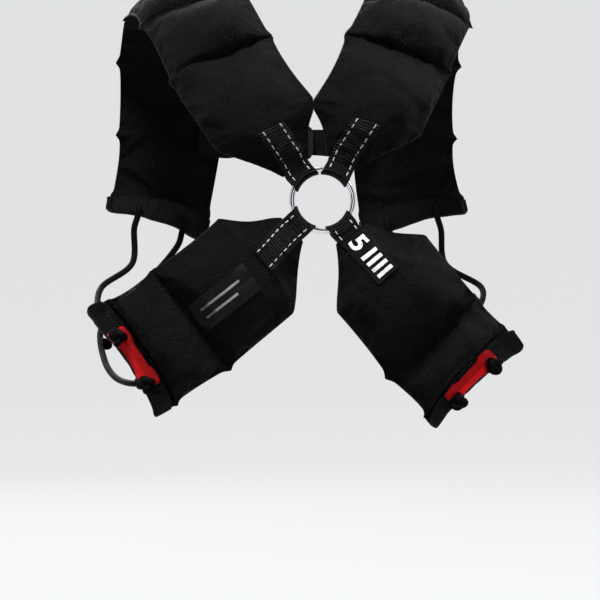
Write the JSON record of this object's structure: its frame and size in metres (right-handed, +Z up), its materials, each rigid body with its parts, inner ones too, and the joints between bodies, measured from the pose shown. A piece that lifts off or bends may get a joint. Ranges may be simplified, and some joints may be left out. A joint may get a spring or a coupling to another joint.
{
  "type": "weighted training vest",
  "caption": "Weighted vest of filled pads over the shoulders and round the flanks, looped to a steel ring in the middle of the back and drawn in by knotted elastic cords.",
  "frame": {"origin": "midway between the two places where the pads rest on the wearer's shoulders, at shoulder height", "axes": "+X to the wearer's right, +Y the way the wearer faces, +Z up; the ring is on the -Y side"},
  "size_m": [0.3984, 0.2776, 0.4109],
  "materials": {
    "ring_steel": "polished round steel wire",
    "pad_fabric": "near-black fine twill over a loose heavy fill",
    "webbing": "black ribbed grosgrain tape",
    "red_webbing": "bright red woven tape, matt",
    "elastic_cord": "black braided elastic cord",
    "label_weave": "dark smooth woven label",
    "clasp_plastic": "plain black moulded plastic"
  },
  "bodies": {
    "root": {"back_ring": "ring_steel", "shoulder_pad_left": "pad_fabric", "shoulder_pad_right": "pad_fabric", "side_pad_left": "pad_fabric", "side_pad_right": "pad_fabric", "ring_loop_shoulder_left": "webbing", "ring_loop_shoulder_right": "webbing", "ring_loop_side_left": "webbing", "ring_loop_side_right": "webbing", "hem_shoulder_left": "webbing", "hem_shoulder_right": "webbing", "hem_side_left": "webbing", "hem_side_right": "webbing", "red_tab_shoulder_left": "red_webbing", "red_tab_shoulder_right": "red_webbing", "red_tab_side_left": "red_webbing", "red_tab_side_right": "red_webbing", "side_cord_left": "elastic_cord", "side_cord_right": "elastic_cord", "chest_strap_left": "webbing", "chest_strap_right": "webbing", "chest_clasp": "clasp_plastic", "badge_label": "label_weave", "size_label": "label_weave"}
  },
  "joints": []
}
